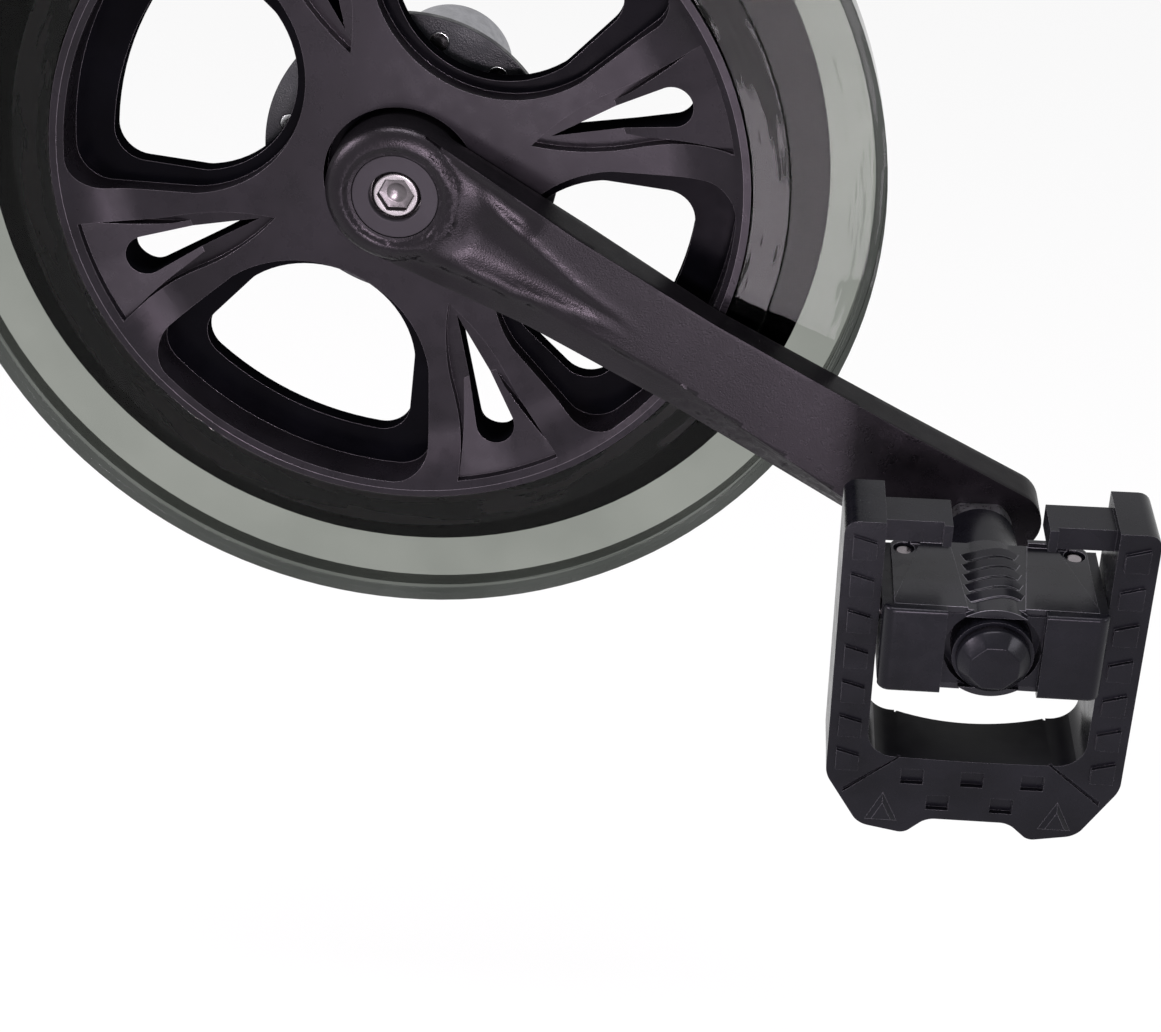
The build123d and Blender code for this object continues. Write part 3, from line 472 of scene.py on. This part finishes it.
# The arm: its rise per length, half widths, bevel and the grid that it is cut into
ARM_RISE = 0.0975
ARM_HALF = ((0.0, 18.0), (45.0, 14.4), (85.0, 13.3), (140.0, 14.2), (190.0, 14.2))
BEVEL_WIDTH = 7.5
BEVEL_DROP = 3.2
GRID_STEP = 1.25
GRID_ALONG = (-20.6, 188.0)
GRID_ACROSS = (-20.0, 20.0)
GRID_OUT = (-82.0, -48.0)
OUT_STEP = 2.5
CUT_MARGIN = 0.001
SIDE_TILT = 0.5
FRONT_TILT = 0.35
FACING = (0.75, 0.97)
SMOOTH_INSIDE = 1.0
BLEND_ROUNDS = 5
BLEND_END = 34.0
SOFTEN_ROUNDS = 3


def valley_drop(along, across):
    """How far the crank's face lies below its flat, in millimetres."""
    if not 0.0 < along < VALLEY_END:
        return 0.0
    upper = along_line(UPPER_RIDGE, along)
    lower = along_line(LOWER_RIDGE, along)
    middle = (across - lower) / max(upper - lower, RIDGES_APART)
    hollow = 0.0
    if 0.0 < middle < 1.0:
        hollow = along_line(VALLEY_DEPTH, along) * sin(pi * middle) ** VALLEY_POWER
    fade = smooth_step(*RIDGE_START, along)
    fade *= 1.0 - smooth_step(VALLEY_END - RIDGE_FADE, VALLEY_END, along)
    crest = max(0.0, 1.0 - abs(across - upper) / RIDGE_WIDTH) ** 2
    crest += max(0.0, 1.0 - abs(across - lower) / LOWER_RIDGE_WIDTH) ** 2
    return hollow - RIDGE_RISE * fade * crest


def arm_place(co):
    """A place along the arm and across it, in millimetres."""
    return co.dot(arm_along) / MM, co.dot(arm_across) / MM


def eye_out(radius):
    """How far out the eye's broad rounded rim lies, in millimetres."""
    share = min(max((radius - EYE_FLAT) / (EYE_RADIUS - EYE_FLAT), 0.0), 1.0)
    drop = EYE_DROP * (1.0 - (1.0 - share * share) ** 0.5)
    drop += DISH_DROP * (1.0 - smooth_step(EYE_FLAT - DISH_BLEND, EYE_FLAT + DISH_BLEND, radius))
    return EYE_CROWN - drop


def round_eye(vert):
    """Moves a place on the eye's rim to its broad rounding."""
    radius = hypot(vert.co.x, vert.co.z) / MM
    on_rim = EYE_FLAT - DISH_BLEND < radius < EYE_RADIUS + EYE_MARGIN
    if on_rim and -vert.co.y / MM > EYE_CROWN - EYE_DROP:
        vert.co.y = -eye_out(radius) * MM


def edge_gap(vert):
    """How far the place lies inside the arm's outline, in millimetres."""
    along, across = arm_place(vert.co)
    return along_line(ARM_HALF, along) - abs(across)


def level_eye(vert):
    """Runs the eye's rounded rim smoothly into the arm's own surface."""
    along = arm_place(vert.co)[0]
    inside = edge_gap(vert)
    radius = hypot(vert.co.x, vert.co.z) / MM
    if radius < EYE_FLAT + DISH_BLEND:
        return
    arm = EYE_CROWN + ARM_RISE * max(0.0, along - EYE_RADIUS)
    arm -= BEVEL_DROP * min(max(1.0 - inside / BEVEL_WIDTH, 0.0), 1.0)
    eye = eye_out(radius) if radius < EYE_RADIUS else 0.0
    near = max(1.0 - abs(arm - eye) / EYE_BLEND, 0.0)
    target = max(arm, eye) + near * near * EYE_BLEND / 4
    share = smooth_step(*EYE_TO_ARM, along) * smooth_step(*EDGE_TO_FACE, inside)
    vert.co.y = -(-vert.co.y / MM * (1.0 - share) + target * share) * MM


def sculpt_crank(bm):
    """Cuts a fine grid into the arm, blends its eye into it, presses in the valley, and gives
    its sides a duller copy of its material that shows them darker, as painted shade.
    """
    cuts = (
        # direction, range, step, whether only side faces are cut
        (arm_along, GRID_ALONG, GRID_STEP, False),
        (arm_across, GRID_ACROSS, GRID_STEP, False),
        (Vector((0, 1, 0)), GRID_OUT, OUT_STEP, True),
    )
    bm.normal_update()
    for direction, (start, end), gap, sides in cuts:
        for step in range(int((end - start) / gap) + 1):
            at = direction * (start + step * gap) * MM
            faces = [face for face in bm.faces if not sides or abs(face.normal.y) < SIDE_TILT]
            corners = {vert for face in faces for vert in face.verts}
            borders = {edge for face in faces for edge in face.edges}
            bmesh.ops.bisect_plane(
                bm, geom=faces + list(corners) + list(borders), dist=CUT_MARGIN * MM,
                plane_co=at, plane_no=direction,
            )
    bm.normal_update()
    front = [vert for vert in bm.verts if vert.normal.y < -FRONT_TILT and vert.co.y < EYE_BACK]
    outside = [vert for vert in front if hypot(vert.co.x, vert.co.z) / MM > EYE_EDGE]
    joint = [vert for vert in outside if EYE_TO_ARM[0] < arm_place(vert.co)[0] < BLEND_END]
    beyond = [vert for vert in outside if arm_place(vert.co)[0] > EYE_RADIUS]
    for vert in front:
        round_eye(vert)
    for vert in joint:
        level_eye(vert)
    joint = [vert for vert in joint if edge_gap(vert) > SMOOTH_INSIDE]
    beyond = [vert for vert in beyond if edge_gap(vert) > SMOOTH_INSIDE]
    for vertices, rounds in ((joint, BLEND_ROUNDS), (beyond, SOFTEN_ROUNDS)):
        for _ in range(rounds):
            bmesh.ops.smooth_vert(bm, verts=vertices, factor=0.5, use_axis_y=True)
    bm.normal_update()
    for vert in outside:
        facing = smooth_step(*FACING, -vert.normal.y)
        radius = hypot(vert.co.x, vert.co.z) / MM
        clear = smooth_step(EYE_EDGE, EYE_CLEAR, radius)
        if facing and clear:
            vert.co.y += valley_drop(*arm_place(vert.co)) * facing * clear * MM
    bm.normal_update()
    # The top, bottom and sides take the duller copy, which shows them darker as painted shade
    for face in bm.faces:
        face.material_index = 1 if abs(face.normal.y) < SIDE_TILT else 0


# Spoked cover: its ledges are glossier and painted darker, and its window walls painted near
# black, both as painted shade; the fans rise from the recess floor without a step.
# Millimetres out from the origin, along a spoke, across it or from the spindle's axis.
LEDGE_OUT = 52.5
WALL_OUT = 50.0
WALLS_WITHIN = 84.0
FAN_TIP = 58.0
FAN_TIP_HALF = 4.9
FAN_REACH = 0.6
FAN_STEP = (0.1, 1.9)
RECESS_OUT = 52.8
SPOKE_TURN = 18.3
SPOKES = 4
# Finishes of the ledges and of the window walls: both painted darker, as painted shade
LEDGE_GLOSS_SHADE_FINISH = 1
WALL_SHADE_FINISH = 2
# Finish of the rounded edges: painted lighter, as a painted highlight
EDGE_HIGHLIGHT_FINISH = 3
WALL_TILT = 0.3
OPENINGS_WITHIN = 90.0
HUB_RECESS = 22.0
HUB_WALL = 0.5
HUB_CLEAR = 19.9


def ease_fans(bm):
    """Brings the tip of each fan down to the recess floor."""
    for spoke in range(SPOKES):
        turn = radians(SPOKE_TURN + spoke * 360 / SPOKES)
        outward = Vector((cos(turn), 0, sin(turn)))
        sideways = Vector((-sin(turn), 0, cos(turn)))
        for vert in bm.verts:
            along = vert.co.dot(outward) / MM
            across = abs(vert.co.dot(sideways)) / MM
            level = -vert.co.y / MM - RECESS_OUT
            at_tip = abs(along - FAN_TIP) < FAN_REACH and across < FAN_TIP_HALF
            if at_tip and FAN_STEP[0] < level < FAN_STEP[1]:
                vert.co.y = -RECESS_OUT * MM


def ready_cover(bm):
    """Eases the fans and brings the hub's recess in to just clear of the crank's eye."""
    ease_fans(bm)
    for vert in bm.verts:
        radius = hypot(vert.co.x, vert.co.z)
        if abs(radius / MM - HUB_RECESS) < HUB_WALL:
            share = HUB_CLEAR * MM / radius
            vert.co.x *= share
            vert.co.z *= share


def shade_ledges_and_walls(bm):
    """Gives the ledges a glossier finish painted darker, and the window walls a near-black one
    without reflection; both are painted shade.
    """
    bm.normal_update()
    for face in bm.faces:
        if face.material_index == EDGE_HIGHLIGHT_FINISH:
            continue
        centre = face.calc_center_median()
        within = hypot(centre.x, centre.z) / MM < WALLS_WITHIN
        deepest = -max(vert.co.y for vert in face.verts) / MM
        if abs(face.normal.y) < WALL_TILT and deepest < WALL_OUT and within:
            face.material_index = WALL_SHADE_FINISH
        elif -centre.y / MM < LEDGE_OUT:
            face.material_index = LEDGE_GLOSS_SHADE_FINISH


def shade_chainring_walls(bm):
    """Gives the chainring's openings the cover's near-black wall finish inside, as painted shade.
    """
    bm.normal_update()
    for face in bm.faces:
        centre = face.calc_center_median()
        if abs(face.normal.y) < WALL_TILT and hypot(centre.x, centre.z) / MM < OPENINGS_WITHIN:
            face.material_index = 1


# Guard: the band next to the cover mirrors more than the rest; the outer lip is painted
# darker, as painted shade
BAND_RADIUS = 98.2
LIP_RADIUS = 117.4


def mark_guard(bm):
    """Numbers the finishes of the band and the lip; the lip's darker tint is painted shade."""
    for face in bm.faces:
        reaches = [hypot(vert.co.x, vert.co.z) / MM for vert in face.verts]
        if max(reaches) < BAND_RADIUS:
            face.material_index = 1
        elif min(reaches) > LIP_RADIUS:
            face.material_index = 2


# Crank bolt: the socket's floor carries the round mark of the drill
SOCKET_DEPTHS = (1.0, 3.0)
SOCKET_WITHIN = 5.0
SOCKET_TILT = 0.5
FLOOR_WITHIN = 0.5
SOCKET_CUTS = 7
DRILL_MARK = (
    # radius, depth below the floor, in millimetres
    (2.7, 0.0),
    (2.45, 0.18),
    (1.2, 0.55),
    (0.25, 0.80),
)


def drill_socket(bm):
    """Gives the socket's floor and walls darker steel as painted shade, and shapes its floor."""
    bm.normal_update()
    front = min(vert.co.y for vert in bm.verts)
    floor = None
    for face in bm.faces:
        centre = face.calc_center_median()
        radius = hypot(centre.x, centre.z) / MM
        depth = (centre.y - front) / MM
        if radius > SOCKET_WITHIN or depth > SOCKET_DEPTHS[1]:
            continue
        if abs(face.normal.y) < SOCKET_TILT:
            face.material_index = 2
        elif depth > SOCKET_DEPTHS[0]:
            face.material_index = 1
            if radius < FLOOR_WITHIN:
                floor = face
    bmesh.ops.subdivide_edges(bm, edges=floor.edges[:], cuts=SOCKET_CUTS)
    row = [loop.vert for loop in floor.loops]
    level = row[0].co.y
    bmesh.ops.delete(bm, geom=[floor], context="FACES_ONLY")
    for radius, depth in DRILL_MARK:
        inner = []
        for vert in row:
            scale = radius * MM / hypot(vert.co.x, vert.co.z)
            inner.append(bm.verts.new((vert.co.x * scale, level + depth * MM, vert.co.z * scale)))
        for step in range(len(row)):
            following = (step + 1) % len(row)
            face = bm.faces.new((row[step], row[following], inner[following], inner[step]))
            face.material_index = 1
        row = inner
    bm.faces.new(row).material_index = 1
    bmesh.ops.recalc_face_normals(bm, faces=bm.faces)


# Pedal covers: the ridges on the saddle run in waves
WAVE_SIZE = 0.9
WAVE_LENGTH = 17.0
WAVE_FADE = (0.72, 1.0)
SADDLE_RADIUS = 12.3
SADDLE_MARGIN = 0.15
SADDLE_HALF = 9.0


def wave_ridges(node):
    """The change that runs the ridges of a pedal cover in waves."""
    low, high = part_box(node)
    middle_y = (low[1] + high[1]) / 2
    half_y = (high[1] - low[1]) / 2

    def change(bm):
        for vert in bm.verts:
            x = vert.co.x - pedal_axis.x
            z = vert.co.z - pedal_axis.z
            if hypot(x, z) / MM < SADDLE_RADIUS - SADDLE_MARGIN or abs(x) / MM > SADDLE_HALF:
                continue
            inside = 1.0 - smooth_step(*WAVE_FADE, abs(vert.co.y - middle_y) / half_y)
            wave = sin(2 * pi * x / MM / WAVE_LENGTH)
            vert.co.y += WAVE_SIZE * wave * inside * MM

    return change


# Folding cage: outer corners of its outline, in millimetres across and up from the pedal's axis
CAGE_CORNERS = (
    # across, height, radius
    (36.2, 30.2, 3.2),
    (36.2, -44.0, 2.0),
    (32.3, -50.7, 1.6),
    (27.3, -59.2, 2.4),
    (15.5, -61.5, 1.6),
    (10.2, -56.4, 2.0),
)
CORNER_REACH = 0.3
CORNER_SEGMENTS = 5
THROUGH_SHARE = 0.9
THROUGH_LENGTH = 12
BAR_TOP = -30.0
INNER_TILT = 0.7


def mark_bar(bm):
    """The inner face of the cage's bar is duller."""
    bm.normal_update()
    for face in bm.faces:
        height = (face.calc_center_median().z - pedal_axis.z) / MM
        if face.material_index == 0 and height < BAR_TOP and face.normal.z > INNER_TILT:
            face.material_index = 2


def round_cage(bm):
    """Rounds the outline's corners before the edges are rounded off."""
    for across, height, radius in CAGE_CORNERS:
        corners = []
        for edge in bm.edges:
            run = edge.verts[0].co - edge.verts[1].co
            if abs(run.y) < THROUGH_SHARE * run.length or abs(run.y) < THROUGH_LENGTH * MM:
                continue
            middle = (edge.verts[0].co + edge.verts[1].co) / 2
            off_x = abs(abs(middle.x - pedal_axis.x) - across * MM)
            off_z = abs(middle.z - pedal_axis.z - height * MM)
            if off_x < CORNER_REACH * MM and off_z < CORNER_REACH * MM:
                corners.append(edge)
        bmesh.ops.bevel(
            bm, geom=corners, offset=radius * MM, offset_type="OFFSET", segments=CORNER_SEGMENTS,
            profile=0.5, affect="EDGES", clamp_overlap=True,
        )


# End cap: a round rim whose cone runs into an eight-sided flat
CAP_STEPS = 96
CAP_SIDES = 8
CAP_FLAT = 5.4
CAP_PROFILE = (
    # share of the way from the rim's circle to the flat's octagon, depth behind the front in mm
    (0.0, 5.3),
    (0.0, 3.4),
    (0.03, 3.05),
    (0.10, 2.75),
    (0.35, 1.85),
    (0.62, 0.95),
    (0.86, 0.22),
    (0.93, 0.07),
    (1.0, 0.0),
)


def make_end_cap(materials):
    low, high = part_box("end_cap")
    rim = (high[0] - low[0]) / 2
    middle = ((low[0] + high[0]) / 2, (low[2] + high[2]) / 2)
    bm = bmesh.new()
    rows = []
    for share, depth in CAP_PROFILE:
        row = []
        for step in range(CAP_STEPS):
            angle = 2 * pi * step / CAP_STEPS
            side = (angle + pi / CAP_SIDES) % (2 * pi / CAP_SIDES) - pi / CAP_SIDES
            flat = CAP_FLAT * MM / cos(side)
            radius = rim + (flat - rim) * share
            x = middle[0] + radius * cos(angle)
            z = middle[1] + radius * sin(angle)
            row.append(bm.verts.new((x, low[1] + depth * MM, z)))
        rows.append(row)
    for first, second in zip(rows, rows[1:]):
        for step in range(CAP_STEPS):
            following = (step + 1) % CAP_STEPS
            bm.faces.new((first[step], first[following], second[following], second[step]))
    bm.faces.new(rows[0])
    bm.faces.new(rows[-1])
    bmesh.ops.recalc_face_normals(bm, faces=bm.faces)
    for face in bm.faces:
        face.smooth = True
    mesh = bpy.data.meshes.new("end_cap")
    bm.to_mesh(mesh)
    bm.free()
    piece = link(bpy.data.objects.new("end_cap_dressed", mesh))
    even_normals(piece)
    return placed(piece, "end_cap", materials)


def make_camera():
    camera = bpy.data.cameras.new("camera")
    camera.sensor_width = SENSOR_WIDTH
    camera.lens = FOCAL_PIXELS / IMAGE_WIDTH * SENSOR_WIDTH
    camera.clip_start = 0.01
    holder = link(bpy.data.objects.new("camera", camera))
    holder.location = CAMERA_AT
    holder.rotation_euler = (radians(90 - CAMERA_ABOVE), 0, radians(CAMERA_ROUND))
    bpy.context.scene.camera = holder


def seen_directly(nodes, links):
    """1 for the rays that show a background: from the camera, in a gloss and through glass."""
    path = nodes.new("ShaderNodeLightPath")
    total = path.outputs["Is Camera Ray"]
    for ray in ("Is Glossy Ray", "Is Transmission Ray"):
        either = nodes.new("ShaderNodeMath")
        either.operation = "MAXIMUM"
        links.new(total, either.inputs[0])
        links.new(path.outputs[ray], either.inputs[1])
        total = either.outputs[0]
    return total


def make_world():
    world = bpy.data.worlds.new("studio")
    bpy.context.scene.world = world
    world.use_nodes = True
    nodes, links = world.node_tree.nodes, world.node_tree.links
    background = nodes["Background"]
    background.inputs["Color"].default_value = (1, 1, 1, 1)
    level = nodes.new("ShaderNodeMapRange")
    level.inputs["To Min"].default_value = WORLD_LEVEL
    level.inputs["To Max"].default_value = 1.0
    links.new(seen_directly(nodes, links), level.inputs["Value"])
    links.new(level.outputs["Result"], background.inputs["Strength"])


def make_floor():
    """A pale floor that takes the object's shadow and fades into the background."""
    mesh = bpy.data.meshes.new("floor")
    half = FLOOR_SIDE / 2
    corners = [(x * half, y * half, FLOOR_LEVEL) for x, y in ((-1, -1), (1, -1), (1, 1), (-1, 1))]
    mesh.from_pydata(corners, [], [(0, 1, 2, 3)])
    floor = link(bpy.data.objects.new("floor", mesh))
    material, shader = new_material("floor_white")
    shader.inputs["Base Color"].default_value = FLOOR_COLOUR
    shader.inputs["Roughness"].default_value = 0.9
    shader.inputs["Specular IOR Level"].default_value = 0.0
    nodes, links = nodes_of(material)
    glow = nodes.new("ShaderNodeEmission")
    glow.inputs["Color"].default_value = (1, 1, 1, 1)
    place = nodes.new("ShaderNodeTexCoord")
    distance = nodes.new("ShaderNodeVectorMath")
    distance.operation = "LENGTH"
    links.new(place.outputs["Object"], distance.inputs[0])
    fade = spread(material, distance.outputs["Value"], FLOOR_GLOW, 1.0, *FLOOR_FADE)
    share = nodes.new("ShaderNodeMath")
    share.operation = "MULTIPLY"
    links.new(seen_directly(nodes, links), share.inputs[0])
    links.new(fade, share.inputs[1])
    mix = nodes.new("ShaderNodeMixShader")
    links.new(share.outputs[0], mix.inputs["Fac"])
    links.new(shader.outputs["BSDF"], mix.inputs[1])
    links.new(glow.outputs["Emission"], mix.inputs[2])
    links.new(mix.outputs["Shader"], nodes["Material Output"].inputs["Surface"])
    mesh.materials.append(material)


def make_lamps():
    for name, place, aim, width, height, watts, colour in LAMPS:
        lamp = bpy.data.lights.new(name, "AREA")
        lamp.shape = "RECTANGLE"
        lamp.size = width
        lamp.size_y = height
        lamp.energy = watts
        lamp.color = colour
        holder = link(bpy.data.objects.new(name, lamp))
        holder.location = place
        holder.visible_camera = False
        towards = Vector(aim) - Vector(place)
        holder.rotation_euler = towards.to_track_quat("-Z", "Y").to_euler()


bpy.context.scene.view_settings.view_transform = "Standard"
make_camera()
make_world()
make_floor()
make_lamps()
materials = make_materials()

# Rounding of the edges of each node that takes nothing else, in metres
EDGES = {
    "inner_guard_ring": 0.0004,
    "magnet_disc": 0.0003,
    "sensor_magnets": 0.0002,
    "spindle": 0.0003,
    "pedal_spindle": 0.0003,
    "bearing_cartridge": 0.0003,
    "drive_side_cup": 0.0003,
    "left_side_cup": 0.0003,
    "cover_screw_rear": 0.0003,
    "cover_screw_front": 0.0003,
    "hinge_pin_rear": 0.0003,
    "hinge_pin_front": 0.0003,
}
for node, edge in EDGES.items():
    dressed(node, materials, edge)
dressed(
    "spoked_cover", materials, 0.0012, segments=3, before=ready_cover, after=shade_ledges_and_walls,
    finishes=("cover_plastic", "cover_gloss", "cover_wall", "cover_edge"), edge_highlight_finish=EDGE_HIGHLIGHT_FINISH,
)
dressed(
    "chainring", materials, 0.0003, after=shade_chainring_walls, finishes=("chainring_black", "cover_wall"),
)
dressed(
    "smoked_guard", materials, 0.0004, after=mark_guard,
    finishes=("smoked_plastic", "smoked_band", "smoked_lip"),
)
dressed(
    "crank_bolt", materials, 0.00025, after=drill_socket,
    finishes=("bright_steel", "socket_steel", "socket_wall"),
)
dressed("dust_ring", materials, 0.0003, finishes=("dust_plastic",))
dressed(
    "crank_arm", materials, 0.0014, segments=3, after=sculpt_crank,
    finishes=("crank_black", "crank_side"), even=False, convex_only=True,
)
dressed(
    "pedal_cage", materials, 0.0007, before=round_cage, after=mark_bar,
    finishes=("pedal_plastic", "pedal_edge", "pedal_inner"), edge_highlight_finish=1,
)
for node in ("pedal_cover_top", "pedal_cover_bottom"):
    dressed(
        node, materials, 0.0004, after=wave_ridges(node), finishes=("pedal_gloss", "pedal_edge"),
        edge_highlight_finish=1,
    )
dressed("pedal_body", materials, 0.0008, finishes=("pedal_plastic", "pedal_edge"), edge_highlight_finish=1)
make_end_cap(materials)
